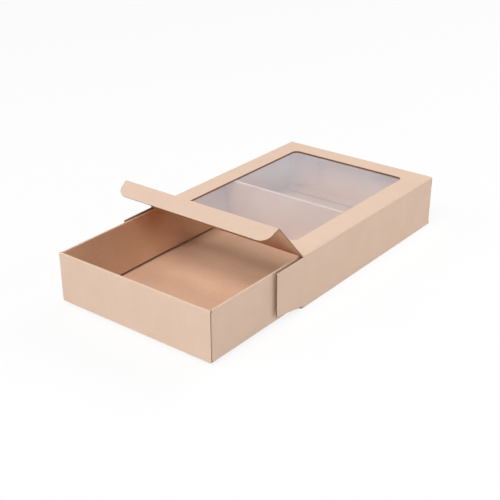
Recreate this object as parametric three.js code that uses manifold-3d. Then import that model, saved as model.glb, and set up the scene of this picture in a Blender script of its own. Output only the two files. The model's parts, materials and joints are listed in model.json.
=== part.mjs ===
// A slide box of thin fluted kraft board: a sleeve with a clear window, and a double-walled tray in it.
// Millimetres, +Z up. The front looks along -Y, and the origin is the centre of the sleeve's underside.
import * as THREE from 'three';
import { mergeVertices } from 'three/addons/utils/BufferGeometryUtils.js';
import Module from 'manifold-3d';

const wasm = await Module();
wasm.setup();

// Board and its folds
const board = 0.6;
const foldInside = 0.4;
const hingeGap = 0.3;
const creaseRelief = 0.9;
const slideGap = 0.3;

// Sleeve, outside sizes with both ends closed
const sleeveWidth = 140;
const sleeveLength = 180;
const sleeveHeight = 41;
const glueFlapWidth = 14;
const glueFlapTaper = 6;

// Window in the sleeve's top, and the film behind it
const windowSideBorder = 17.2;
const windowShift = -0.9;
const windowEndBorder = 16.25;
const windowCorner = 5;
const filmThickness = 0.2;
const filmOverlap = 6;
const glueThickness = 0.1;
const glueWidth = 4;
const glueEdge = 1;

// End closures: the panel, its tuck flap and the two dust flaps of each end
const closureInset = 0.3;
const closureTaper = 0.4;
const tuckDepth = 13;
const tuckLift = 0.35;
const tuckInset = 1;
const tuckTaper = 1;
const tuckCorner = 8.5;
const dustLength = 30;
const dustTopGap = 0.3;
const dustTopTaper = 0.3;
const dustSlope = 5.3;

// Tray: how far it is drawn out, and its fits in the sleeve
const trayPull = 96.1;
const filmGap = 0.2;
const trayEndGap = 1.6;
const traySideInset = 0.4;
const wallGap = 0.2;
const innerFloorGap = 0.5;
const innerBow = 1.1;
const innerLean = 5.5;
const cornerFlapLength = 26;
const cornerFlapGap = 0.6;
const rimInset = 0.2;
const lockTabWidth = 14;
const lockTabCorner = 2;
const lockTabSpread = 62;
const lockTabDepthShare = 0.6;

// How the closures stand in this pose
const frontRaise = THREE.MathUtils.degToRad(49);
const frontTuckFold = THREE.MathUtils.degToRad(79);
const rearTuckFold = THREE.MathUtils.degToRad(90.8);
const quarterTurn = Math.PI / 2;

const foldSteps = 5;
const cornerSteps = 8;

const finishes = {
  kraftLight: { color: 0xe3c8b6, roughness: 0.82, metalness: 0 },
  kraftInside: { color: 0xc79d80, roughness: 0.88, metalness: 0 },
  film: { color: 0xf2f2f4, roughness: 0.08, metalness: 0, transparent: true, opacity: 0.3 },
  glue: { color: 0xece8de, roughness: 0.5, metalness: 0 },
};

// Sizes that follow from the ones above
const foldOutside = foldInside + board;
const hingeSetBack = board / 2;
const panelSetBack = board + hingeGap;
const dustHingeInset = panelSetBack + board / 2;
const wallSetBack = panelSetBack + board + hingeGap;
const halfWidth = sleeveWidth / 2;
const windowWidth = sleeveWidth - 2 * windowSideBorder;
const windowLength = sleeveLength - 2 * windowEndBorder;
const ceiling = sleeveHeight - board;
const filmUnderside = ceiling - glueThickness - filmThickness;
const tuckAxisHeight = board + tuckLift + board / 2;
const hingeHeight = sleeveHeight - board / 2;
const tuckRootTop = tuckAxisHeight + board / 2;
const closureDepth = hingeHeight - tuckAxisHeight;
const closureHalf = halfWidth - closureInset;
const tuckTop = board + tuckLift + board + tuckDepth * Math.sin(rearTuckFold - quarterTurn);
const trayBottom = tuckTop + slideGap;
const trayHeight = filmUnderside - filmGap - trayBottom;
const trayLength = sleeveLength - 2 * wallSetBack;
const trayFront = wallSetBack - trayPull;
const trayHalf = halfWidth - board - trayEndGap;
const sideHalf = trayHalf - traySideInset;
const endWall = 3 * board;
const sideWall = 2 * board + wallGap;
const sideWallStart = endWall + foldInside;
const floorHalf = sideHalf - foldOutside;

function point(x, y) {
  return new THREE.Vector2(x, y);
}

function polygon(corners) {
  return new THREE.Shape(corners.map(([x, y]) => point(x, y)));
}

// A rectangle with rounded corners, as a shape or as the hole in one, with its middle at X = middle
function roundedRectangle(width, length, corner, Outline, middle) {
  const left = middle + corner - width / 2;
  const right = middle + width / 2 - corner;
  const y = length / 2 - corner;
  const shape = new Outline();
  shape.absarc(right, y, corner, 0, quarterTurn, false);
  shape.absarc(left, y, corner, quarterTurn, 2 * quarterTurn, false);
  shape.absarc(left, -y, corner, 2 * quarterTurn, 3 * quarterTurn, false);
  shape.absarc(right, -y, corner, 3 * quarterTurn, 4 * quarterTurn, false);
  shape.closePath();
  return shape;
}

// A board seen end on: it runs straight, or turns through a fold of an inside radius
function boardSection(start, heading, steps) {
  const left = [];
  const right = [];
  const at = start.clone();
  let angle = heading;
  const normal = () => point(-Math.sin(angle), Math.cos(angle));
  const mark = () => {
    left.push(at.clone().addScaledVector(normal(), board / 2));
    right.push(at.clone().addScaledVector(normal(), -board / 2));
  };
  mark();
  for (const { run, turn, inside } of steps) {
    if (run !== undefined) {
      at.add(point(Math.cos(angle), Math.sin(angle)).multiplyScalar(run));
      mark();
      continue;
    }
    const reach = (inside + board / 2) * Math.sign(turn);
    const centre = at.clone().addScaledVector(normal(), reach);
    for (let step = 0; step < foldSteps; step += 1) {
      angle += turn / foldSteps;
      at.copy(centre).addScaledVector(normal(), -reach);
      mark();
    }
  }
  return new THREE.Shape([...left, ...right.reverse()]);
}

function extrude(shape, depth) {
  const settings = { depth, bevelEnabled: false, curveSegments: cornerSteps, steps: 1 };
  return new THREE.ExtrudeGeometry(shape, settings);
}

function toManifold(geometry) {
  const plain = geometry.clone();
  plain.deleteAttribute('normal');
  plain.deleteAttribute('uv');
  const merged = mergeVertices(plain);
  const vertProperties = Float32Array.from(merged.attributes.position.array);
  const triVerts = Uint32Array.from(merged.index.array);
  return new wasm.Manifold(new wasm.Mesh({ numProp: 3, vertProperties, triVerts }));
}

function toGeometry(solid) {
  const { vertProperties, triVerts } = solid.getMesh();
  const geometry = new THREE.BufferGeometry();
  geometry.setAttribute('position', new THREE.BufferAttribute(Float32Array.from(vertProperties), 3));
  geometry.setIndex(new THREE.BufferAttribute(Uint32Array.from(triVerts), 1));
  geometry.computeVertexNormals();
  return geometry;
}

function piece(parent, name, geometry, finish) {
  const mesh = new THREE.Mesh(geometry, new THREE.MeshStandardMaterial(finishes[finish]));
  mesh.name = name;
  parent.add(mesh);
  return mesh;
}

// A sheet lying flat, drawn in X and Y
function flatPiece(parent, name, shape, bottom, thickness, finish) {
  const mesh = piece(parent, name, extrude(shape, thickness), finish);
  mesh.position.z = bottom;
  return mesh;
}

// A section drawn in X and Z that runs along Y
function lengthwisePiece(parent, name, section, front, back, finish) {
  const mesh = piece(parent, name, extrude(section, back - front), finish);
  mesh.rotation.x = quarterTurn;
  mesh.position.y = back;
  return mesh;
}

// A section drawn in Y and Z that runs along X
function crosswisePiece(parent, name, section, low, high, finish) {
  const mesh = piece(parent, name, extrude(section, high - low), finish);
  mesh.rotation.set(quarterTurn, 0, quarterTurn, 'ZXY');
  mesh.position.x = low;
  return mesh;
}

// A flap in its hinge's own frame: the hinge along X, the flap towards +Y, its board centred on Z = 0.
// The hinge edge is rounded about the hinge line, and the far edge can be cut back for a next fold.
function hingedFlap(plan, far, farCut) {
  const half = board / 2;
  const side = new THREE.Shape();
  side.absarc(0, 0, half, quarterTurn, 3 * quarterTurn, false);
  side.lineTo(far, -half);
  side.lineTo(far - farCut, half);
  side.closePath();
  const bounds = new THREE.Box2().setFromPoints(plan.getPoints(cornerSteps));
  const width = bounds.max.x - bounds.min.x;
  const strip = extrude(side, width);
  strip.rotateX(quarterTurn);
  strip.rotateZ(quarterTurn);
  strip.translate(bounds.min.x, 0, 0);
  const cutter = extrude(plan, 2 * board);
  cutter.translate(0, 0, -board);
  return toGeometry(toManifold(strip).intersect(toManifold(cutter)));
}

function sleeveTopAndWindow(sleeve) {
  const middle = sleeveLength / 2;
  const panelHalf = halfWidth - foldOutside;
  const panelLength = sleeveLength - 2 * panelSetBack;
  const top = roundedRectangle(2 * panelHalf, panelLength, 0, THREE.Shape, 0);
  top.holes.push(roundedRectangle(windowWidth, windowLength, windowCorner, THREE.Path, windowShift));
  flatPiece(sleeve, 'sleeve_top_panel', top, ceiling, board, 'kraftLight').position.y = middle;

  const filmWidth = windowWidth + 2 * filmOverlap;
  const filmLength = windowLength + 2 * filmOverlap;
  const film = roundedRectangle(filmWidth, filmLength, 0, THREE.Shape, windowShift);
  flatPiece(sleeve, 'window_film', film, filmUnderside, filmThickness, 'film').position.y = middle;

  const windowGrown = (extra, Outline) => roundedRectangle(
    windowWidth + 2 * extra,
    windowLength + 2 * extra,
    windowCorner + extra,
    Outline,
    windowShift,
  );
  const band = windowGrown(glueEdge + glueWidth, THREE.Shape);
  band.holes.push(windowGrown(glueEdge, THREE.Path));
  const glueBottom = filmUnderside + filmThickness;
  flatPiece(sleeve, 'window_glue_band', band, glueBottom, glueThickness, 'glue').position.y = middle;
}

// A side's wall from above: its ends are cut back on the inside, so that the dust flaps can fold in
function sidePlan(sign) {
  const front = wallSetBack;
  const back = sleeveLength - front;
  const inner = sign * (halfWidth - foldOutside - board);
  const face = sign * (halfWidth - board);
  const outer = sign * halfWidth;
  const corners = [
    [inner, front + creaseRelief],
    [face, front + creaseRelief],
    [outer, front],
    [outer, back],
    [face, back - creaseRelief],
    [inner, back - creaseRelief],
  ];
  return polygon(sign > 0 ? corners : corners.reverse());
}

// What a side may fill: its wall, and its folds above and below the dust flaps, which run on past it
function sideRegion(sign) {
  const layer = (plan, bottom, top) => {
    const slab = extrude(plan, top - bottom);
    slab.translate(0, 0, bottom);
    return toManifold(slab);
  };
  const strip = (setBack) => {
    const inner = sign * (halfWidth - foldOutside - board);
    const outer = sign * (halfWidth + board);
    const back = sleeveLength - setBack;
    const corners = [[inner, setBack], [outer, setBack], [outer, back], [inner, back]];
    return polygon(sign > 0 ? corners : corners.reverse());
  };
  const wall = layer(sidePlan(sign), -board, sleeveHeight + board);
  const lowerFold = layer(strip(0), -board, tuckRootTop);
  const upperFold = layer(strip(panelSetBack), ceiling, sleeveHeight + board);
  return wall.add(lowerFold).add(upperFold);
}

// Each side carries its two long folds; the left one's lower fold lies on the bottom panel
function sleeveSides(sleeve) {
  const foldReach = halfWidth - foldOutside;
  for (const [name, sign, lowest] of [['left', -1, board], ['right', 1, 0]]) {
    const start = point(sign * foldReach, lowest + board / 2);
    const heading = sign > 0 ? 0 : 2 * quarterTurn;
    const section = boardSection(start, heading, [
      { turn: sign * quarterTurn, inside: foldInside },
      { run: sleeveHeight - lowest - 2 * foldOutside },
      { turn: sign * quarterTurn, inside: foldInside },
    ]);
    const folded = extrude(section, sleeveLength);
    folded.rotateX(quarterTurn);
    folded.translate(0, sleeveLength, 0);
    const side = toManifold(folded).intersect(sideRegion(sign));
    piece(sleeve, `sleeve_${name}_side`, toGeometry(side), 'kraftLight');
  }
}

function sleeveBottom(sleeve) {
  const right = halfWidth - foldOutside;
  const panel = polygon([[-halfWidth, 0], [right, 0], [right, sleeveLength], [-halfWidth, sleeveLength]]);
  flatPiece(sleeve, 'sleeve_bottom_panel', panel, 0, board, 'kraftLight');

  const outer = -right;
  const inner = outer + glueFlapWidth;
  const front = hingeSetBack + tuckDepth + 2 * slideGap;
  const back = sleeveLength - front;
  const flap = polygon([
    [outer, front],
    [inner, front + glueFlapTaper],
    [inner, back - glueFlapTaper],
    [outer, back],
  ]);
  flatPiece(sleeve, 'sleeve_glue_flap', flap, board, board, 'kraftInside');
}

function closurePlan() {
  const far = closureDepth - board / 2 - hingeGap;
  return polygon([
    [-closureHalf, -board],
    [closureHalf, -board],
    [closureHalf, 0],
    [closureHalf - closureTaper, far],
    [closureTaper - closureHalf, far],
    [-closureHalf, 0],
  ]);
}

function tuckPlan() {
  const root = closureHalf - tuckInset;
  const tip = root - tuckTaper;
  const plan = new THREE.Shape();
  plan.moveTo(-root, -board);
  plan.lineTo(root, -board);
  plan.lineTo(root, 0);
  plan.lineTo(tip, tuckDepth - tuckCorner);
  plan.absarc(tip - tuckCorner, tuckDepth - tuckCorner, tuckCorner, 0, quarterTurn, false);
  plan.absarc(tuckCorner - tip, tuckDepth - tuckCorner, tuckCorner, quarterTurn, 2 * quarterTurn, false);
  plan.lineTo(-root, 0);
  plan.closePath();
  return plan;
}

// The panel that closes one end, and the flap that tucks in under the tray.
// Both ends are alike: the rear one is turned about, so it too swings and folds towards its own front.
function endClosure(sleeve, end, hingeY, facing, raise, tuckFold) {
  const mouth = new THREE.Group();
  mouth.position.set(0, hingeY, hingeHeight);
  mouth.rotation.z = facing;
  sleeve.add(mouth);
  const closure = new THREE.Group();
  closure.rotation.x = 2 * quarterTurn - raise;
  mouth.add(closure);
  const far = closureDepth - board / 2 - hingeGap;
  piece(closure, `${end}_closure_panel`, hingedFlap(closurePlan(), far, creaseRelief), 'kraftLight');
  const tuck = new THREE.Group();
  tuck.position.y = closureDepth;
  tuck.rotation.x = tuckFold;
  closure.add(tuck);
  piece(tuck, `${end}_tuck_flap`, hingedFlap(tuckPlan(), tuckDepth, 0), 'kraftLight');
}

// A dust flap's outline: along its hinge is height, and away from it is the flap's length
function dustPlan() {
  const bottom = tuckRootTop + hingeGap;
  const top = ceiling - dustTopGap;
  return polygon([
    [bottom, -board],
    [top, -board],
    [top, 0],
    [top - dustTopTaper, dustLength],
    [bottom + dustSlope, dustLength],
    [bottom, 0],
  ]);
}

function dustFlap(sleeve, name, side, hingeY, swing) {
  const hinge = new THREE.Group();
  hinge.position.set(side * (halfWidth - hingeSetBack), hingeY, 0);
  hinge.rotation.z = swing;
  sleeve.add(hinge);
  const geometry = hingedFlap(dustPlan(), dustLength, 0);
  const upright = new THREE.Matrix4().makeBasis(
    new THREE.Vector3(0, 0, 1),
    new THREE.Vector3(0, -1, 0),
    new THREE.Vector3(1, 0, 0),
  );
  piece(hinge, name, geometry, 'kraftLight').rotation.setFromRotationMatrix(upright);
}

// The board of an end wall, drawn in Y and Z: it rises from the floor's fold to the rim's fold
function endWallSection() {
  return boardSection(point(foldOutside, board / 2), 2 * quarterTurn, [
    { turn: -quarterTurn, inside: foldInside },
    { run: trayHeight - foldOutside - endWall / 2 },
  ]);
}

function endRimSection() {
  const springing = trayHeight - endWall / 2;
  const inside = endWall / 2 - board;
  return boardSection(point(board / 2, springing), quarterTurn, [
    { turn: -quarterTurn, inside },
    { turn: -quarterTurn, inside },
  ]);
}

// The rolled-over inner board of an end wall, with the tabs that lock it in the floor
function endInnerShape() {
  const half = floorHalf;
  const top = trayHeight - endWall / 2;
  const bottom = board + slideGap;
  const tip = board * (1 - lockTabDepthShare);
  const tab = (centre, way) => {
    const far = lockTabWidth / 2;
    return [
      [centre - way * far, bottom],
      [centre - way * far, tip + lockTabCorner / 4],
      [centre - way * (far - lockTabCorner), tip],
      [centre + way * (far - lockTabCorner), tip],
      [centre + way * far, tip + lockTabCorner / 4],
      [centre + way * far, bottom],
    ];
  };
  return polygon([
    [-half, bottom],
    ...tab(-lockTabSpread / 2, 1),
    ...tab(lockTabSpread / 2, 1),
    [half, bottom],
    [half, top],
    [-half, top],
  ]);
}

function trayFloor(tray) {
  const front = foldOutside;
  const back = trayLength - foldOutside;
  const slotHalf = lockTabWidth / 2 + hingeGap;
  const slotDepth = endWall + hingeGap - front;
  const notch = (centre, edge, depth) => {
    const way = Math.sign(depth);
    return [
      [centre - way * slotHalf, edge],
      [centre - way * slotHalf, edge + depth],
      [centre + way * slotHalf, edge + depth],
      [centre + way * slotHalf, edge],
    ];
  };
  const floor = polygon([
    [-floorHalf, front],
    ...notch(-lockTabSpread / 2, front, slotDepth),
    ...notch(lockTabSpread / 2, front, slotDepth),
    [floorHalf, front],
    [floorHalf, back],
    ...notch(lockTabSpread / 2, back, -slotDepth),
    ...notch(-lockTabSpread / 2, back, -slotDepth),
    [-floorHalf, back],
  ]);
  flatPiece(tray, 'tray_floor', floor, 0, board, 'kraftInside');
}

// One end wall of the tray: outer board, rolled rim and inner board, turned about for the rear
function trayEndWall(tray, end) {
  const wall = new THREE.Group();
  if (end === 'rear') {
    wall.position.y = trayLength;
    wall.rotation.z = 2 * quarterTurn;
  }
  tray.add(wall);
  crosswisePiece(wall, `tray_${end}_outer_wall`, endWallSection(), -trayHalf, trayHalf, 'kraftLight');
  const rimHalf = trayHalf - rimInset;
  crosswisePiece(wall, `tray_${end}_rim`, endRimSection(), -rimHalf, rimHalf, 'kraftLight');
  const inner = piece(wall, `tray_${end}_inner_wall`, extrude(endInnerShape(), board), 'kraftInside');
  inner.rotation.x = quarterTurn;
  inner.position.y = endWall;
}

function sideWallSection(sign) {
  return boardSection(point(sign * floorHalf, board / 2), sign > 0 ? 0 : 2 * quarterTurn, [
    { turn: sign * quarterTurn, inside: foldInside },
    { run: trayHeight - foldOutside - sideWall / 2 },
  ]);
}

function sideRimSection(sign) {
  const inside = sideWall / 2 - board;
  const start = point(sign * (sideHalf - board / 2), trayHeight - sideWall / 2);
  return boardSection(start, quarterTurn, [
    { turn: sign * quarterTurn, inside },
    { turn: sign * quarterTurn, inside },
  ]);
}

// The inner board of a side wall, hung from the rim: its lower edge bows up a little off the floor
function sideInnerShape(front, back, height) {
  const shape = new THREE.Shape();
  shape.moveTo(front, -height);
  shape.quadraticCurveTo((front + back) / 2, 2 * innerBow - height, back, -height);
  shape.lineTo(back, -hingeGap);
  shape.lineTo(front, -hingeGap);
  shape.closePath();
  return shape;
}

// A side wall's inner board springs in at its foot, so it hangs a little out of upright
function traySideWall(tray, name, sign) {
  const front = sideWallStart;
  const back = trayLength - front;
  lengthwisePiece(tray, `tray_${name}_outer_wall`, sideWallSection(sign), front, back, 'kraftLight');
  lengthwisePiece(tray, `tray_${name}_rim`, sideRimSection(sign), front, back, 'kraftLight');
  const springing = trayHeight - sideWall / 2;
  const height = springing - board - innerFloorGap;
  const hung = new THREE.Group();
  hung.position.set(sign * (sideHalf - sideWall), 0, springing);
  hung.rotation.y = sign * Math.asin(innerLean / height);
  tray.add(hung);
  const low = sign > 0 ? 0 : -board;
  const inner = extrude(sideInnerShape(front, back, height), board);
  const mesh = piece(hung, `tray_${name}_inner_wall`, inner, 'kraftInside');
  mesh.rotation.set(quarterTurn, 0, quarterTurn, 'ZXY');
  mesh.position.x = low;
}

// A flap that turns the corner from a side wall and is held between the boards of an end wall
function trayCornerFlap(tray, name, sideSign, end) {
  const corner = new THREE.Group();
  if (end === 'rear') {
    corner.position.y = trayLength;
    corner.rotation.z = 2 * quarterTurn;
  }
  tray.add(corner);
  const sign = end === 'rear' ? -sideSign : sideSign;
  const start = point(sign * (floorHalf - cornerFlapLength), board + board / 2);
  const section = boardSection(start, sign > 0 ? 0 : 2 * quarterTurn, [
    { run: cornerFlapLength },
    { turn: sign * quarterTurn, inside: foldInside },
    { run: sideWallStart - board - foldOutside },
  ]);
  const bottom = foldOutside + cornerFlapGap;
  const top = trayHeight - endWall / 2 - cornerFlapGap;
  flatPiece(corner, name, section, bottom, top - bottom, 'kraftInside');
}

const box = new THREE.Group();
const sleeve = new THREE.Group();
sleeve.position.y = -sleeveLength / 2;
box.add(sleeve);
sleeveTopAndWindow(sleeve);
sleeveSides(sleeve);
sleeveBottom(sleeve);

endClosure(sleeve, 'front', hingeSetBack, 0, frontRaise, frontTuckFold);
endClosure(sleeve, 'rear', sleeveLength - hingeSetBack, 2 * quarterTurn, -quarterTurn, rearTuckFold);
dustFlap(sleeve, 'front_left_dust_flap', -1, dustHingeInset, 0);
dustFlap(sleeve, 'front_right_dust_flap', 1, dustHingeInset, 0);
dustFlap(sleeve, 'rear_left_dust_flap', -1, sleeveLength - dustHingeInset, quarterTurn);
dustFlap(sleeve, 'rear_right_dust_flap', 1, sleeveLength - dustHingeInset, -quarterTurn);

const tray = new THREE.Group();
tray.position.set(0, trayFront, trayBottom);
sleeve.add(tray);
trayFloor(tray);
for (const end of ['front', 'rear']) {
  trayEndWall(tray, end);
  trayCornerFlap(tray, `tray_${end}_left_corner_flap`, -1, end);
  trayCornerFlap(tray, `tray_${end}_right_corner_flap`, 1, end);
}
traySideWall(tray, 'left', -1);
traySideWall(tray, 'right', 1);

export default box;
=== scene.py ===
import json
import math

import bmesh
import bpy
from mathutils import Matrix, Quaternion, Vector


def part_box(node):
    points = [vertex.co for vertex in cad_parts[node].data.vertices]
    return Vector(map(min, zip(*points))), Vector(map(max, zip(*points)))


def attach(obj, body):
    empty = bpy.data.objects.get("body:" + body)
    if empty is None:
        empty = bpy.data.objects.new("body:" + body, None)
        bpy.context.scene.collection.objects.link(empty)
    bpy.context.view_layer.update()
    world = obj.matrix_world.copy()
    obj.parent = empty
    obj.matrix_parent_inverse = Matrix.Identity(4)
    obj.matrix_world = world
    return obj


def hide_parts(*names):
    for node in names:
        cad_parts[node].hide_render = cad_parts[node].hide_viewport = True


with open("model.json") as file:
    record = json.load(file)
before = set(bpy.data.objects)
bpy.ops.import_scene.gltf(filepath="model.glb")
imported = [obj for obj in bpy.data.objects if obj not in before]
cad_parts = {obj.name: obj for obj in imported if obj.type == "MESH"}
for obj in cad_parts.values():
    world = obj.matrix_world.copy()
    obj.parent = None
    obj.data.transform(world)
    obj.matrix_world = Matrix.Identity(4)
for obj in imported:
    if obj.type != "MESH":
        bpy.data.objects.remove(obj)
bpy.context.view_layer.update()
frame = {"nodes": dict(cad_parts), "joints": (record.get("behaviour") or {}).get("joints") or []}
mm = 0.001
X = Vector((1, 0, 0))
Y = Vector((0, 1, 0))
Z = Vector((0, 0, 1))


# The sleeve's top panel
# The middle panel of the sleeve's blank, of fluted board: two papers with a waved paper glued between.
# Its window is die-cut with round corners, so that the flutes show open on the window's cut edge.
# Every board is swept with an overrun past its die, so that the die alone shapes its edges.
board = 0.6 * mm
paper = 0.1 * mm
flute_pitch = 2.4 * mm
flute_steps = 8
overrun = board
die_depth = 4 * board
crease_angle = math.radians(30)
quarter_turn = math.pi / 2
window_side_border = 17.2 * mm
window_shift = -0.9 * mm
window_end_border = 16.25 * mm
window_corner = 5 * mm
corner_steps = 10
outside_dark = (0.73, 0.533, 0.41, 1)
outside_light = (0.78, 0.588, 0.465, 1)
outside_fleck = (0.55, 0.36, 0.25, 1)
inside_dark = (0.635, 0.384, 0.246, 1)
inside_light = (0.71, 0.453, 0.303, 1)
inside_fleck = (0.34, 0.18, 0.1, 1)
# The fluting is the waved paper's own kraft, made darker than the paper as painted shade for the open flutes
# seen at cut edges.
fluting_and_edge_shade_dark = (0.23, 0.125, 0.08, 1)
fluting_and_edge_shade_light = (0.32, 0.185, 0.125, 1)
cloud_grain = (24 * mm, 18 * mm, 1)
mottle_grain = (3.2 * mm, 1.4 * mm, 1)
fibre_grain = (1.6 * mm, 0.22 * mm, 1)
fleck_grain = (1.1 * mm, 0.35 * mm, 1)
cloud_share = 0.35
mottle_share = 0.35
fibre_share = 0.3
rib_share = 0.006
tone_span = (0.3, 0.7)
fleck_span = (0.68, 0.8)
fleck_strength = 0.5
relief_depth = 0.05 * mm
relief_strength = 0.35
fibre_relief = 0.5
mottle_relief = 0.5
rib_relief = 0.12
paper_roughness = 0.7
fibre_roughness = 0.2
paper_specular = 0.25


class Socket:
    """A node's output. Arithmetic on it adds the Math nodes that work it out."""

    def __init__(self, nodes, socket):
        self.nodes = nodes
        self.socket = socket

    def math(self, operation, first, second):
        return self.nodes.add("ShaderNodeMath", {"operation": operation}, {0: first, 1: second})

    def __add__(self, other):
        return self.math("ADD", self, other)

    def __sub__(self, other):
        return self.math("SUBTRACT", self, other)

    def __rsub__(self, other):
        return self.math("SUBTRACT", other, self)

    def __mul__(self, other):
        return self.math("MULTIPLY", self, other)

    def __truediv__(self, other):
        return self.math("DIVIDE", self, other)

    def __pow__(self, other):
        return self.math("POWER", self, other)

    def sine(self):
        return self.math("SINE", self, 0)

    def more(self, other):
        return self.math("MAXIMUM", self, other)

    __radd__ = __add__


class Nodes:
    """A node tree in the making."""

    def __init__(self, tree):
        self.tree = tree

    def add(self, kind, settings=None, sockets=None, output=0):
        """Adds a node, sets it, fills its sockets with values or links, and gives one of its outputs."""
        node = self.tree.nodes.new(kind)
        for name, value in (settings or {}).items():
            setattr(node, name, value)
        for name, value in (sockets or {}).items():
            for item in value if isinstance(value, list) else [value]:
                if isinstance(item, Socket):
                    self.tree.links.new(item.socket, node.inputs[name])
                else:
                    node.inputs[name].default_value = item
        return Socket(self, node.outputs[output]) if node.outputs else None

    def noise(self, place, scale, detail):
        """Noise from 0 to 1 whose grain is the size that scale gives for each direction."""
        sized = self.add("ShaderNodeMapping", {}, {"Vector": place, "Scale": tuple(1 / s for s in scale)})
        return self.add("ShaderNodeTexNoise", {}, {"Vector": sized, "Scale": 1.0, "Detail": detail})

    def within(self, value, low, high):
        """0 where value is low, 1 where it is high, and smooth between."""
        settings = {"interpolation_type": "SMOOTHSTEP"}
        return self.add("ShaderNodeMapRange", settings, {0: value, 1: low, 2: high})

    def blended(self, share, first, second):
        """Two colours mixed."""
        return self.add("ShaderNodeMix", {"data_type": "RGBA"}, {0: share, 6: first, 7: second}, 2)


def new_material(name):
    """An empty material and its node tree."""
    material = bpy.data.materials.new(name)
    material.use_nodes = True
    material.node_tree.nodes.clear()
    return material, Nodes(material.node_tree)


def kraft_paper(name, dark, light, fleck):
    """Kraft paper: cloudy in tone, with fine fibres across the flutes, a few dark flecks and faint ribs."""
    material, nodes = new_material(name)
    place = nodes.add("ShaderNodeUVMap", {"uv_map": "UVMap"})
    cloud = nodes.noise(place, cloud_grain, 2)
    mottle = nodes.noise(place, mottle_grain, 3)
    fibre = nodes.noise(place, fibre_grain, 2)
    speck = nodes.noise(place, fleck_grain, 1)
    across = nodes.add("ShaderNodeSeparateXYZ", {}, {0: place})
    ribs = (across * (2 * math.pi / flute_pitch)).sine()
    mixed = cloud * cloud_share + mottle * mottle_share + fibre * fibre_share + ribs * rib_share
    shade = nodes.blended(nodes.within(mixed, *tone_span), dark, light)
    flecked = nodes.blended(nodes.within(speck, *fleck_span) * fleck_strength, shade, fleck)
    height = fibre * fibre_relief + mottle * mottle_relief + ribs * rib_relief
    sockets = {"Height": height, "Strength": relief_strength, "Distance": relief_depth}
    relief = nodes.add("ShaderNodeBump", {}, sockets)
    sockets = {
        "Base Color": flecked,
        "Roughness": paper_roughness + fibre * fibre_roughness,
        "Specular IOR Level": paper_specular,
        "Normal": relief,
    }
    shader = nodes.add("ShaderNodeBsdfPrincipled", {}, sockets)
    nodes.add("ShaderNodeOutputMaterial", {}, {"Surface": shader})
    return material


outside_paper = kraft_paper("Kraft paper, outside", outside_dark, outside_light, outside_fleck)
inside_paper = kraft_paper("Kraft paper, inside", inside_dark, inside_light, inside_fleck)
fluting_and_edge_shade_paper = kraft_paper("Kraft paper, fluting and painted edge shade", fluting_and_edge_shade_dark, fluting_and_edge_shade_light, inside_fleck)


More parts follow.
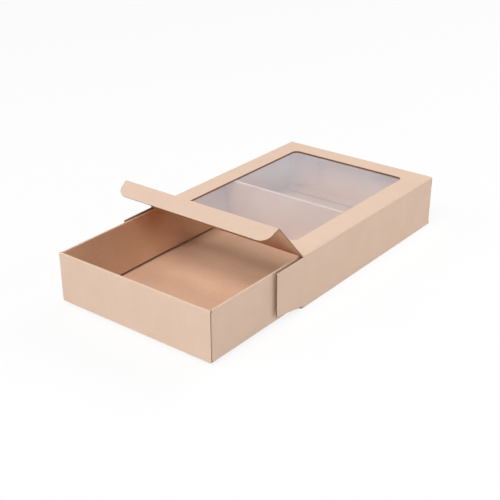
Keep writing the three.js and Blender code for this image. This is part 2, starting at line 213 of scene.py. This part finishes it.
def fluted_board_tree():
    """Sweeps a section's centreline along the flutes, as two liners and the waved paper between them."""
    tree = bpy.data.node_groups.new("Fluted board", "GeometryNodeTree")
    for name, kind in (
        ("Centreline", "NodeSocketGeometry"),
        ("Run", "NodeSocketFloat"),
        ("Board", "NodeSocketFloat"),
        ("Paper", "NodeSocketFloat"),
        ("Flute pitch", "NodeSocketFloat"),
        ("Die cut", "NodeSocketBool"),
        ("Outline", "NodeSocketObject"),
        ("Right liner", "NodeSocketMaterial"),
        ("Left liner", "NodeSocketMaterial"),
        ("Fluting", "NodeSocketMaterial"),
    ):
        tree.interface.new_socket(name, in_out="INPUT", socket_type=kind)
    tree.interface.new_socket("Board", in_out="OUTPUT", socket_type="NodeSocketGeometry")
    nodes = Nodes(tree)

    def given(name):
        return nodes.add("NodeGroupInput", output=name)

    run, thickness, thin, pitch = (given(n) for n in ("Run", "Board", "Paper", "Flute pitch"))
    outline = nodes.add("GeometryNodeObjectInfo", {}, {"Object": given("Outline")}, "Geometry")
    line = nodes.add("GeometryNodeMeshToCurve", {}, {"Mesh": given("Centreline")})
    line = nodes.add("GeometryNodeSetCurveNormal", {"mode": "Z_UP"}, {"Curve": line})
    travelled = nodes.add("GeometryNodeSplineParameter", output="Length")
    line = nodes.add(
        "GeometryNodeStoreNamedAttribute",
        {"data_type": "FLOAT", "domain": "POINT"},
        {"Geometry": line, "Name": "across", "Value": travelled},
    )

    def swept(curve, shift, mark):
        """One paper, mapped by its place on the board in metres, its faces marked, and then cut out."""
        strip = nodes.add("GeometryNodeCurvePrimitiveQuadrilateral", {}, {"Width": thin, "Height": run})
        off = nodes.add("ShaderNodeCombineXYZ", {}, {"X": shift})
        strip = nodes.add("GeometryNodeTransform", {}, {"Geometry": strip, "Translation": off})
        sockets = {"Curve": curve, "Profile Curve": strip, "Fill Caps": True}
        sheet = nodes.add("GeometryNodeCurveToMesh", {}, sockets)
        across = nodes.add("GeometryNodeInputNamedAttribute", {"data_type": "FLOAT"}, {"Name": "across"})
        spot = nodes.add("GeometryNodeInputPosition")
        along = nodes.add("ShaderNodeSeparateXYZ", {}, {0: spot}, "Z")
        place = nodes.add("ShaderNodeCombineXYZ", {}, {"X": across, "Y": along})
        sheet = nodes.add(
            "GeometryNodeStoreNamedAttribute",
            {"data_type": "FLOAT2", "domain": "CORNER"},
            {"Geometry": sheet, "Name": "UVMap", "Value": place},
        )
        sheet = nodes.add(
            "GeometryNodeStoreNamedAttribute",
            {"data_type": "BOOLEAN", "domain": "FACE"},
            {"Geometry": sheet, "Name": mark, "Value": True},
        )
        blank = nodes.add(
            "GeometryNodeMeshBoolean",
            {"operation": "INTERSECT", "solver": "MANIFOLD"},
            {"Mesh 2": [sheet, outline]},
        )
        sockets = {"Switch": given("Die cut"), "False": sheet, "True": blank}
        return nodes.add("GeometryNodeSwitch", {"input_type": "GEOMETRY"}, sockets)

    reach = (thickness - thin) * 0.5
    sockets = {"Curve": line, "Length": pitch / flute_steps}
    fine = nodes.add("GeometryNodeResampleCurve", {"mode": "LENGTH"}, sockets)
    wave = (travelled * (2 * math.pi) / pitch).sine() * (thickness * 0.5 - thin * 1.5)
    aside = nodes.add("GeometryNodeInputNormal")
    push = nodes.add("ShaderNodeVectorMath", {"operation": "SCALE"}, {0: aside, "Scale": wave})
    waved = nodes.add("GeometryNodeSetPosition", {}, {"Geometry": fine, "Offset": push})
    papers = [
        swept(line, reach, "Right liner"),
        swept(line, 0 - reach, "Left liner"),
        swept(waved, 0, "Fluting"),
    ]
    made = nodes.add("GeometryNodeJoinGeometry", {}, {"Geometry": papers})
    made = nodes.add("GeometryNodeRealizeInstances", {}, {"Geometry": made})
    made = nodes.add("GeometryNodeSetMaterial", {}, {"Geometry": made, "Material": given("Fluting")})
    # The marked faces take their liner's finish. A cut's faces are unmarked and take the fluting's dark
    # colour, painted shade for the open flutes at every cut edge.
    for liner in ("Right liner", "Left liner"):
        uncut = nodes.add("GeometryNodeInputNamedAttribute", {"data_type": "BOOLEAN"}, {"Name": liner})
        sockets = {"Geometry": made, "Selection": uncut, "Material": given(liner)}
        made = nodes.add("GeometryNodeSetMaterial", {}, sockets)
    nodes.add("NodeGroupOutput", {}, {"Board": made})
    return tree


fluted_board = fluted_board_tree()


def frame_of(origin, across, along):
    """Places a drawing: its X runs across the flutes, its Z along them, and right of its X is outside."""
    columns = Matrix((across, along.cross(across), along)).transposed()
    return Matrix.Translation(origin) @ columns.to_4x4()


def outline_object(loops, depth, turn):
    """A die: the loops, drawn in X and Z, made a solid of some depth along Y, and turned about Z."""
    shape = bmesh.new()
    for loop in loops:
        corners = [shape.verts.new((x, -depth / 2, z)) for x, z in loop]
        for first, second in zip(corners, corners[1:] + corners[:1]):
            shape.edges.new((first, second))
    bmesh.ops.triangle_fill(shape, edges=shape.edges[:], use_beauty=True)
    floor = shape.faces[:]
    risen = bmesh.ops.extrude_face_region(shape, geom=floor)["geom"]
    moved = [item for item in risen if isinstance(item, bmesh.types.BMVert)]
    bmesh.ops.translate(shape, verts=moved, vec=(0, depth, 0))
    bmesh.ops.recalc_face_normals(shape, faces=shape.faces[:])
    mesh = bpy.data.meshes.new("Die")
    shape.to_mesh(mesh)
    shape.free()
    mesh.transform(Matrix.Rotation(turn, 4, Z))
    die = bpy.data.objects.new("Die", mesh)
    bpy.context.scene.collection.objects.link(die)
    return die


def board_piece(name, line, run, place, right=outside_paper, left=inside_paper, die=None):
    """A piece of board whose section follows line, in the drawing's X and Y, and runs along its Z."""
    mesh = bpy.data.meshes.new(name)
    mesh.from_pydata([(x, y, 0) for x, y in line], [(i, i + 1) for i in range(len(line) - 1)], [])
    piece = bpy.data.objects.new(name, mesh)
    bpy.context.scene.collection.objects.link(piece)
    modifier = piece.modifiers.new("Fluted board", "NODES")
    modifier.node_group = fluted_board
    values = {
        "Run": run,
        "Board": board,
        "Paper": paper,
        "Flute pitch": flute_pitch,
        "Die cut": bool(die),
        "Outline": die,
        "Right liner": right,
        "Left liner": left,
        "Fluting": fluting_and_edge_shade_paper,
    }
    for socket in fluted_board.interface.items_tree:
        if socket.in_out == "INPUT" and socket.name in values:
            modifier[socket.identifier] = values[socket.name]
    depsgraph = bpy.context.evaluated_depsgraph_get()
    made = bpy.data.meshes.new_from_object(piece.evaluated_get(depsgraph))
    piece.modifiers.clear()
    piece.data = made
    made.transform(place)
    made.shade_smooth()
    made.set_sharp_from_angle(angle=crease_angle)
    if die:
        bpy.data.objects.remove(die)
    return piece


def flat_piece(name, loops, place, right=outside_paper, left=inside_paper):
    """A flat piece of board, die-cut to loops of points (across, along)."""
    wide = max(abs(x) for x, _ in loops[0]) + 2 * overrun
    long = max(abs(z) for _, z in loops[0]) + 2 * overrun
    die = outline_object(loops, die_depth, 0)
    return board_piece(name, [(-wide, 0), (wide, 0)], 2 * long, place, right, left, die)


def set_on(piece, body, slot, *nodes):
    """The piece stands for its CAD nodes, which it hides, and moves with a body. The slot is not used."""
    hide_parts(*nodes)
    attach(piece, body)


def rounded_rectangle(half_width, half_length, corner):
    """A rectangle round the drawing's origin, with round corners, from its right side to its top and on."""
    points = []
    for quarter, (side, end) in enumerate(((1, 1), (-1, 1), (-1, -1), (1, -1))):
        for step in range(corner_steps + 1):
            angle = (quarter + step / corner_steps) * quarter_turn
            x = side * (half_width - corner) + corner * math.cos(angle)
            z = end * (half_length - corner) + corner * math.sin(angle)
            points.append((x, z))
    return points


joints = {joint["name"]: joint for joint in frame["joints"]}
top_low, top_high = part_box("sleeve_top_panel")
bottom_low, bottom_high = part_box("sleeve_bottom_panel")
front_crease = Vector(joints["front_closure_hinge"]["pos_m"])
rear_crease = Vector(joints["rear_closure_hinge"]["pos_m"])
top_wide = top_high.x
window_half = -bottom_low.x - window_side_border
window_reach = bottom_high.y - window_end_border
top_loops = [
    [
        (-top_wide, front_crease.y),
        (top_wide, front_crease.y),
        (top_wide, rear_crease.y),
        (-top_wide, rear_crease.y),
    ],
    [(x + window_shift, z) for x, z in rounded_rectangle(window_half, window_reach, window_corner)],
]
top_place = frame_of(Z * (top_high.z - board / 2), X, Y)
top_board = flat_piece("sleeve_top_board", top_loops, top_place)
set_on(top_board, "sleeve", "kraft_outside", "sleeve_top_panel")


# Film window
# A clear plastic film glued under the top panel, a little larger than the window that it closes.
# It lies nearly flat, mirrors the window's cut edge and the backdrop unevenly, and has a faint haze.
film_clear = (0.99, 0.99, 0.99, 1)
film_white = (0.92, 0.94, 1.0, 1)
film_haze = 0.02
film_shine = 0.025
film_grazing_shine = 2.3
film_unevenness = 0.35
film_roughness = 0.04
buckle_grain = (45 * mm, 60 * mm, 1)
buckle_depth = 0.25 * mm
dust_grain = (9 * mm, 14 * mm, 1)


def film_finish():
    """Each face of the film mirrors more at a slant, and scatters a little where it is dusty."""
    material, nodes = new_material("Clear film")
    place = nodes.add("ShaderNodeTexCoord", output="Object")
    buckle = nodes.noise(place, buckle_grain, 1)
    dust = nodes.noise(place, dust_grain, 3)
    relief = nodes.add("ShaderNodeBump", {}, {"Height": buckle, "Strength": 1.0, "Distance": buckle_depth})
    clear = nodes.add("ShaderNodeBsdfTransparent", {}, {"Color": film_clear})
    matt = nodes.add("ShaderNodeBsdfDiffuse", {}, {"Color": film_white})
    sockets = {"Color": film_white, "Roughness": film_roughness, "Normal": relief}
    mirror = nodes.add("ShaderNodeBsdfAnisotropic", {}, sockets)
    haze = film_haze / 2 + dust * film_haze
    body = nodes.add("ShaderNodeMixShader", {}, {0: haze, 1: clear, 2: matt})
    slant = nodes.add("ShaderNodeLayerWeight", {}, {"Blend": 0.5}, "Facing")
    sheen = film_shine + slant**5 * film_grazing_shine
    shine = sheen * (1 - film_unevenness + buckle * (2 * film_unevenness))
    film = nodes.add("ShaderNodeMixShader", {}, {0: shine, 1: body, 2: mirror})
    nodes.add("ShaderNodeOutputMaterial", {}, {"Surface": film})
    return material


film = frame["nodes"]["window_film"]
film.data.materials.clear()
film.data.materials.append(film_finish())


# Glue round the film
# A thin milky band of dried glue between the film and the top panel, rolled on and uneven.
glue_thin = (0.62, 0.56, 0.47, 1)
glue_thick = (0.85, 0.83, 0.76, 1)
streak_grain = (5 * mm, 2 * mm, 2 * mm)
streak_span = (0.35, 0.65)
glue_roughness = 0.3


def glue_finish():
    """Glue that is clearer where it is thin and milkier where it is thick."""
    material, nodes = new_material("Dried glue")
    place = nodes.add("ShaderNodeTexCoord", output="Object")
    streak = nodes.noise(place, streak_grain, 4)
    colour = nodes.blended(nodes.within(streak, *streak_span), glue_thin, glue_thick)
    sockets = {"Base Color": colour, "Roughness": glue_roughness + streak * glue_roughness}
    shader = nodes.add("ShaderNodeBsdfPrincipled", {}, sockets)
    nodes.add("ShaderNodeOutputMaterial", {}, {"Surface": shader})
    return material


glue_band = frame["nodes"]["window_glue_band"]
glue_band.data.materials.clear()
glue_band.data.materials.append(glue_finish())


# The sleeve's sides
# Each side is one panel of the blank, bent over at the top and at the bottom along a scored fold.
# The folds are round, because the board crushes over its score and springs back a little.
fold_inside = 0.4 * mm
fold_steps = 8


def walked(start, heading, *steps):
    """The centreline of a bent board: a number is a straight run, (turn, inside radius) is a fold."""
    at = Vector(start)
    points = [at.copy()]
    for step in steps:
        if isinstance(step, tuple):
            turn, inside = step
            radius = math.copysign(inside + board / 2, turn)
            centre = at + radius * Vector((-math.sin(heading), math.cos(heading)))
            for _ in range(fold_steps):
                heading += turn / fold_steps
                points.append(centre + radius * Vector((math.sin(heading), -math.cos(heading))))
            at = points[-1].copy()
        else:
            at += step * Vector((math.cos(heading), math.sin(heading)))
            points.append(at.copy())
    return points


fold = (quarter_turn, fold_inside)
fold_reach = fold_inside + board
dust_crease = Vector(joints["rear_right_dust_hinge"]["pos_m"])
foot_top = joints["rear_tuck_hinge"]["pos_m"][2] + board / 2
foot_chamfer = 1.2 * mm
side_edge = [
    (bottom_low.z - overrun, bottom_high.y - foot_chamfer),
    (bottom_low.z, bottom_high.y - foot_chamfer),
    (foot_top, bottom_high.y),
    (foot_top, dust_crease.y),
    (top_low.z, dust_crease.y),
    (top_low.z, rear_crease.y),
    (top_high.z + overrun, rear_crease.y),
]
side_loop = side_edge + [(height, -along) for height, along in side_edge[::-1]]

for name, heading in (("right", 0), ("left", math.pi)):
    low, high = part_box(f"sleeve_{name}_side")
    rise = high.z - low.z - 2 * fold_reach
    if heading == 0:
        start = (high.x - fold_reach, low.z + board / 2)
    else:
        start = (low.x + fold_reach, high.z - board / 2)
    line = walked(start, heading, fold, rise, fold)
    die = outline_object([side_loop], 4 * top_wide, quarter_turn)
    run = 2 * (bottom_high.y + overrun)
    place = frame_of(Vector(), X, -Y)
    side = board_piece(f"sleeve_{name}_side_board", line, run, place, die=die)
    set_on(side, "sleeve", "kraft_outside", f"sleeve_{name}_side")


# The sleeve's bottom panel and the glue flap
# The bottom panel ends in a bare cut edge at the left, where the side's flap is glued down inside it.
# The flap's ends are cut at a slant, so that they stay clear of the tuck flaps.
glue_flap_taper = 6 * mm
bottom_wide = bottom_high.x - bottom_low.x
bottom_middle = (bottom_low + bottom_high) / 2
bottom_edge = [
    (bottom_wide / 2 - foot_chamfer, bottom_low.y),
    (bottom_wide / 2, bottom_low.y + foot_chamfer),
    (bottom_wide / 2, bottom_high.y - foot_chamfer),
    (bottom_wide / 2 - foot_chamfer, bottom_high.y),
]
bottom_loop = bottom_edge + [(-across, along) for across, along in bottom_edge[::-1]]
bottom_place = frame_of(Vector((bottom_middle.x, 0, bottom_middle.z)), -X, Y)
bottom_board = flat_piece("sleeve_bottom_board", [bottom_loop], bottom_place)
set_on(bottom_board, "sleeve", "kraft_outside", "sleeve_bottom_panel")

flap_low, flap_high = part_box("sleeve_glue_flap")
flap_middle = (flap_low + flap_high) / 2
flap_half = (flap_high.x - flap_low.x) / 2
flap_loop = [
    (flap_half, flap_low.y),
    (flap_half, flap_high.y),
    (-flap_half, flap_high.y - glue_flap_taper),
    (-flap_half, flap_low.y + glue_flap_taper),
]
flap_place = frame_of(Vector((flap_middle.x, 0, flap_middle.z)), -X, Y)
glue_flap = flat_piece("sleeve_glue_flap_board", [flap_loop], flap_place)
set_on(glue_flap, "sleeve", "kraft_inside", "sleeve_glue_flap")


# Closure panels and tuck flaps
# At each end the top panel goes on in a closure panel, and that in a tuck flap with round corners.
# The front pair stands open as in the photograph, and the rear pair is shut, with its flap tucked in.
front_raise = math.radians(49)
front_tuck_fold = math.radians(79)
rear_tuck_fold = math.radians(90.8)
closure_half = 69.7 * mm
closure_far_half = 69.3 * mm
closure_corner = 0.5 * mm
tuck_half = 68.9 * mm
tuck_far_half = 67.9 * mm
tuck_depth = 13 * mm
tuck_corner = 8.5 * mm
roll_steps = 6


def add_roll(piece, half, place):
    """Adds the rolled crease at a flap's hinge: outside paper on its upper half, inside paper below."""
    shape = bmesh.new()
    shape.from_mesh(piece.data)
    slots = [piece.data.materials.find(m.name) for m in (outside_paper, inside_paper)]
    radius = board / 2
    rings = []
    for x in (-half, half):
        ring = []
        for step in range(2 * roll_steps + 1):
            angle = quarter_turn * step / roll_steps
            spot = Vector((x, -radius * math.cos(angle), -radius * math.sin(angle)))
            ring.append(shape.verts.new(place @ spot))
        rings.append(ring)
    for step in range(2 * roll_steps):
        face = shape.faces.new((rings[0][step], rings[0][step + 1], rings[1][step + 1], rings[1][step]))
        face.material_index = slots[0] if step < roll_steps else slots[1]
        face.smooth = True
    shape.faces.new((rings[0][0], rings[1][0], rings[1][-1], rings[0][-1]))
    shape.faces.new(rings[0][::-1])
    shape.faces.new(rings[1])
    shape.to_mesh(piece.data)
    shape.free()


def closure_loop(depth):
    """A closure panel: a little narrower at its far edge, with its corners just clipped."""
    edge = [
        (closure_half, 0),
        (closure_far_half, depth - closure_corner),
        (closure_far_half - closure_corner / 2, depth),
    ]
    return edge + [(-x, z) for x, z in edge[::-1]]


def tuck_loop():
    """A tuck flap: straight at its crease, and round at its far corners."""
    corner = rounded_rectangle(tuck_far_half, tuck_depth, tuck_corner)
    return [(-tuck_half, 0), (tuck_half, 0)] + [p for p in corner if p[1] > 0]


def leaning(angle, facing):
    """The direction away from a hinge along X, raised by angle above level towards the front or rear."""
    return Vector((0, facing * math.cos(angle), math.sin(angle)))


for end, facing, raise_angle, tuck_fold in (
    ("front", -1, front_raise, front_tuck_fold),
    ("rear", 1, -quarter_turn, rear_tuck_fold),
):
    hinge = Vector(joints[f"{end}_closure_hinge"]["pos_m"])
    tuck_hinge = Vector(joints[f"{end}_tuck_hinge"]["pos_m"])
    place = frame_of(hinge, X * facing, leaning(raise_angle, facing))
    closure = flat_piece(f"{end}_closure_board", [closure_loop((tuck_hinge - hinge).length)], place)
    add_roll(closure, closure_half, place)
    set_on(closure, f"{end}_closure", "kraft_outside", f"{end}_closure_panel")

    place = frame_of(tuck_hinge, X * facing, leaning(raise_angle - tuck_fold, facing))
    tuck = flat_piece(f"{end}_tuck_board", [tuck_loop()], place)
    add_roll(tuck, tuck_half, place)
    set_on(tuck, f"{end}_tuck", "kraft_outside", f"{end}_tuck_flap")


# Dust flaps
# A flap on each end of each side, cut lower at its foot so that it clears the tray and the tuck flap.
# The front ones stand straight on from the sides, and the rear ones are folded in behind the closure.
dust_top_taper = 0.3 * mm
dust_slope = 5.3 * mm

for end, facing in (("front", -1), ("rear", 1)):
    for side_name, side in (("left", -1), ("right", 1)):
        node = f"{end}_{side_name}_dust_flap"
        low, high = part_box(node)
        crease = Vector(joints[f"{end}_{side_name}_dust_hinge"]["pos_m"])
        away = Y * facing if end == "front" else X * -side
        outward = X * side if end == "front" else Y
        reach = max(abs((corner - crease).dot(away)) for corner in (low, high))
        up = away.cross(outward)
        middle = (low.z + high.z) / 2
        half = (high.z - low.z) / 2
        sign = up.z
        loop = [
            (sign * -half, 0),
            (sign * half, 0),
            (sign * (half - dust_top_taper), reach),
            (sign * (dust_slope - half), reach),
        ]
        place = frame_of(Vector((crease.x, crease.y, middle)), up, away)
        flap = flat_piece(f"{node}_board", [loop], place)
        add_roll(flap, half, place)
        set_on(flap, f"{end}_{side_name}_dust", "kraft_outside", node)


# The tray's floor
# The middle of the tray's blank, brown side up, in a lighter copy of the walls' brown paper: painted light,
# for a floor lit more than the walls round it.
# Its notches take the lock tabs of the end walls.
tray_floor_lit_copy_dark = (0.675, 0.437, 0.3, 1)
tray_floor_lit_copy_light = (0.75, 0.507, 0.36, 1)
lock_tab_width = 14 * mm
lock_tab_spread = 62 * mm
notch_play = 0.3 * mm
notch_depth = 1.1 * mm

floor_low, floor_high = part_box("tray_floor")
floor_half = floor_high.x
floor_middle = (floor_low + floor_high) / 2
floor_reach = (floor_high.y - floor_low.y) / 2
notch_half = lock_tab_width / 2 + notch_play


def notched_edge(along, depth, way):
    """One end of the floor, cut in by depth for its two lock tabs."""
    edge = [(-way * floor_half, along)]
    for centre in (-way * lock_tab_spread / 2, way * lock_tab_spread / 2):
        for side, cut in ((-way, 0), (-way, depth), (way, depth), (way, 0)):
            edge.append((centre + side * notch_half, along + cut))
    return edge + [(way * floor_half, along)]


floor_loop = notched_edge(-floor_reach, notch_depth, 1) + notched_edge(floor_reach, -notch_depth, -1)
# A paler copy of the inside paper, as painted light on the floor.
tray_floor_lit_copy_paper = kraft_paper("Kraft paper, tray floor, lit copy", tray_floor_lit_copy_dark, tray_floor_lit_copy_light, inside_fleck)
tray_floor_place = frame_of(floor_middle, -X, Y)
tray_floor = flat_piece("tray_floor_board", [floor_loop], tray_floor_place, left=tray_floor_lit_copy_paper)
set_on(tray_floor, "tray", "kraft_inside", "tray_floor")


# The tray's end walls
# Outer board, rolled rim and inner board are one strip of the blank, folded over at the top.
# The inner board's tabs lock in the floor's notches and hold the roll shut.
end_wall = 3 * board
wall_corner = 1.8 * mm
lock_tab_corner = 2 * mm
lock_tab_reach = 0.66 * mm

for end, facing in (("front", 1), ("rear", -1)):
    low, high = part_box(f"tray_{end}_outer_wall")
    rim_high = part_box(f"tray_{end}_rim")[1]
    inner_low, inner_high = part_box(f"tray_{end}_inner_wall")
    face = low.y if end == "front" else high.y
    springing = rim_high.z - end_wall / 2
    middle = Vector((0, face, 0))
    across = Y * facing
    along = X * facing
    place = frame_of(middle, across, along)
    rise = springing - low.z - fold_reach
    line = walked((board / 2, springing), -quarter_turn, rise, fold)
    foot = [(x, z) for x, z in rounded_rectangle(high.z - low.z, high.x, wall_corner) if x < 0]
    foot += [(overrun, -high.x), (overrun, high.x)]
    die = outline_object([[(x + high.z, z) for x, z in foot]], 4 * end_wall, quarter_turn)
    outer = board_piece(f"tray_{end}_outer_board", line, 2 * (high.x + overrun), place, die=die)
    set_on(outer, "tray", "kraft_outside", f"tray_{end}_outer_wall")

    roll = (quarter_turn, end_wall / 2 - board)
    line = walked((end_wall - board / 2, springing), quarter_turn, roll, roll)
    rim = board_piece(f"tray_{end}_rim_board", line, high.x - low.x, place)
    set_on(rim, "tray", "kraft_outside", f"tray_{end}_rim")

    tab = lock_tab_width / 2
    height = springing - inner_low.z
    shoulder = height - lock_tab_reach
    loop = [(0, -inner_high.x), (0, inner_high.x), (shoulder, inner_high.x)]
    for centre in (lock_tab_spread / 2, -lock_tab_spread / 2):
        loop += [
            (shoulder, centre + tab),
            (height - lock_tab_reach / 2, centre + tab),
            (height, centre + tab - lock_tab_corner),
            (height, centre - tab + lock_tab_corner),
            (height - lock_tab_reach / 2, centre - tab),
            (shoulder, centre - tab),
        ]
    loop.append((shoulder, -inner_high.x))
    spot = Vector((0, face + facing * (end_wall - board / 2), springing))
    inner = flat_piece(f"tray_{end}_inner_board", [loop], frame_of(spot, -Z, along))
    set_on(inner, "tray", "kraft_inside", f"tray_{end}_inner_wall")


# The tray's side walls
# Rolled over like the end walls, but with a little air inside, so the inner board leans in at its foot.
# Its lower edge bows up off the floor between the corners.
wall_gap = 0.2 * mm
side_wall = 2 * board + wall_gap
inner_lean = 5.5 * mm
inner_floor_gap = 0.6 * mm
inner_bow = 1.1 * mm
bow_steps = 16

for name, side in (("left", -1), ("right", 1)):
    low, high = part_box(f"tray_{name}_outer_wall")
    rim_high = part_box(f"tray_{name}_rim")[1]
    face = side * max(side * low.x, side * high.x)
    springing = rim_high.z - side_wall / 2
    run = high.y - low.y
    place = frame_of(Y * (low.y + high.y) / 2, X, -Y)
    rise = springing - low.z - fold_reach
    if side > 0:
        line = walked((face - fold_reach, low.z + board / 2), 0, fold, rise)
    else:
        line = walked((face + board / 2, springing), -quarter_turn, rise, fold)
    outer = board_piece(f"tray_{name}_outer_board", line, run, place)
    set_on(outer, "tray", "kraft_outside", f"tray_{name}_outer_wall")

    roll = (quarter_turn, side_wall / 2 - board)
    start = face - board / 2 if side > 0 else face + side_wall - board / 2
    line = walked((start, springing), quarter_turn, roll, roll)
    rim = board_piece(f"tray_{name}_rim_board", line, run, place)
    set_on(rim, "tray", "kraft_outside", f"tray_{name}_rim")

    drop = springing - floor_high.z - inner_floor_gap
    lean = math.asin(inner_lean / drop)
    down = Vector((-side * math.sin(lean), 0, -math.cos(lean)))
    along = Y * -side
    loop = [(0, -run / 2), (0, run / 2)]
    for step in range(bow_steps + 1):
        share = 1 - 2 * step / bow_steps
        loop.append((drop - inner_bow * (1 - share * share), share * run / 2))
    out = down.cross(along)
    spot = Vector((face - side * side_wall, (low.y + high.y) / 2, springing)) - out * board / 2
    place = frame_of(spot, down, along)
    inner = flat_piece(f"tray_{name}_inner_board", [loop], place, inside_paper, outside_paper)
    set_on(inner, "tray", "kraft_inside", f"tray_{name}_inner_wall")


# Corner flaps
# From each end of a side wall a flap turns the corner and is held between the boards of the end wall.
corner_flap_length = 25.4 * mm
corner_fold_inside = 1 * mm
corner_fold = (quarter_turn, corner_fold_inside)
corner_reach = corner_fold_inside + board / 2
corner_depth = end_wall / 2

for end, facing in (("front", 1), ("rear", -1)):
    wall_low, wall_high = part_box(f"tray_{end}_outer_wall")
    face = wall_low.y if end == "front" else wall_high.y
    for name, side in (("left", -1), ("right", 1)):
        low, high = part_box(f"tray_{end}_{name}_corner_flap")
        turn = side * facing
        if turn > 0:
            start = (high.x if side > 0 else -low.x) - board / 2 - corner_reach - corner_flap_length
            line = walked((start, corner_depth), 0, corner_flap_length, corner_fold)
        else:
            start = ((low.x if side < 0 else -high.x) + board / 2, corner_depth + corner_reach)
            line = walked(start, -quarter_turn, corner_fold, corner_flap_length)
        place = frame_of(Vector((0, face, (low.z + high.z) / 2)), X * facing, Z)
        flap = board_piece(f"tray_{end}_{name}_corner_board", line, high.z - low.z, place)
        set_on(flap, "tray", "kraft_inside", f"tray_{end}_{name}_corner_flap")


# The studio
# A pale floor and a backdrop that shows white but gives no light. Soft lamps stand all round, most in
# front, and don't show in the film. Each lamp has a name, a place, a size and a power.
# The camera stands where the photograph's did, as far as the box's own edges tell.
view_azimuth = math.radians(38.305)
view_elevation = math.radians(26.092)
view_roll = math.radians(-0.423)
view_target = Vector((-16.36, -37.97, 0)) * mm
view_distance = 770.1 * mm
lens = 71.2
floor_size = 12.0
floor_drop = 0.3 * mm
floor_tone = (0.9, 0.9, 0.9, 1)
backdrop_share = 0.85
lamps = (
    ("Key", (0, -1.85, 2.36), 1.3, 27),
    ("Key, right of it", (1.05, -1.64, 2.27), 1.5, 30.5),
    ("Left front", (-1.83, -1.83, 1.52), 1.5, 24.5),
    ("Top", (0, 0, 3), 1.2, 13),
    ("Behind", (0, 2.4, 1.8), 1.5, 32),
    ("Right rear", (0.9, 0.75, 0.5), 0.7, 3.5),
    ("Right", (1.5, 0.3, 0.6), 0.85, 2),
)


def seen_directly(nodes):
    """1 for what the camera sees, straight, in a mirror or through the film, and 0 for what lights."""
    rays = ("Is Camera Ray", "Is Glossy Ray", "Is Transmission Ray")
    straight, mirrored, through = (nodes.add("ShaderNodeLightPath", output=ray) for ray in rays)
    return straight.more(mirrored).more(through)


def studio_floor():
    """A large pale floor that takes shadows, and looks almost as white as the backdrop."""
    mesh = bpy.data.meshes.new("Floor")
    half = floor_size / 2
    corners = [(x * half, y * half, -floor_drop) for x, y in ((-1, -1), (1, -1), (1, 1), (-1, 1))]
    mesh.from_pydata(corners, [], [(0, 1, 2, 3)])
    floor = bpy.data.objects.new("Floor", mesh)
    bpy.context.scene.collection.objects.link(floor)
    material, nodes = new_material("Studio floor")
    matt = nodes.add("ShaderNodeBsdfDiffuse", {}, {"Color": floor_tone})
    glow = nodes.add("ShaderNodeEmission", {}, {"Color": (1, 1, 1, 1), "Strength": 1.0})
    share = seen_directly(nodes) * backdrop_share
    both = nodes.add("ShaderNodeMixShader", {}, {0: share, 1: matt, 2: glow})
    nodes.add("ShaderNodeOutputMaterial", {}, {"Surface": both})
    mesh.materials.append(material)


def studio_world():
    """The white backdrop."""
    world = bpy.data.worlds.new("Studio")
    world.use_nodes = True
    world.node_tree.nodes.clear()
    bpy.context.scene.world = world
    nodes = Nodes(world.node_tree)
    sockets = {"Color": (1, 1, 1, 1), "Strength": seen_directly(nodes)}
    glow = nodes.add("ShaderNodeBackground", {}, sockets)
    nodes.add("ShaderNodeOutputWorld", {}, {"Surface": glow})


def soft_light(name, place, size, power):
    """A round lamp that shines at the object, and shows in no mirror."""
    light = bpy.data.lights.new(name, "AREA")
    light.shape = "DISK"
    light.size = size
    light.energy = power
    lamp = bpy.data.objects.new(name, light)
    lamp.location = place
    lamp.rotation_mode = "QUATERNION"
    lamp.rotation_quaternion = (-place).to_track_quat("-Z", "Y")
    lamp.visible_glossy = False
    bpy.context.scene.collection.objects.link(lamp)


studio_floor()
studio_world()
for name, lamp_place, lamp_size, lamp_power in lamps:
    soft_light(name, Vector(lamp_place), lamp_size, lamp_power)

level = math.cos(view_elevation)
look = Vector((-math.sin(view_azimuth) * level, math.cos(view_azimuth) * level, -math.sin(view_elevation)))
camera = bpy.data.objects.new("Camera", bpy.data.cameras.new("Camera"))
bpy.context.scene.collection.objects.link(camera)
camera.rotation_mode = "QUATERNION"
camera.rotation_quaternion = look.to_track_quat("-Z", "Y") @ Quaternion((0, 0, 1), view_roll)
camera.location = view_target - look * view_distance
camera.data.lens = lens
bpy.context.scene.camera = camera
bpy.context.scene.view_settings.view_transform = "Standard"
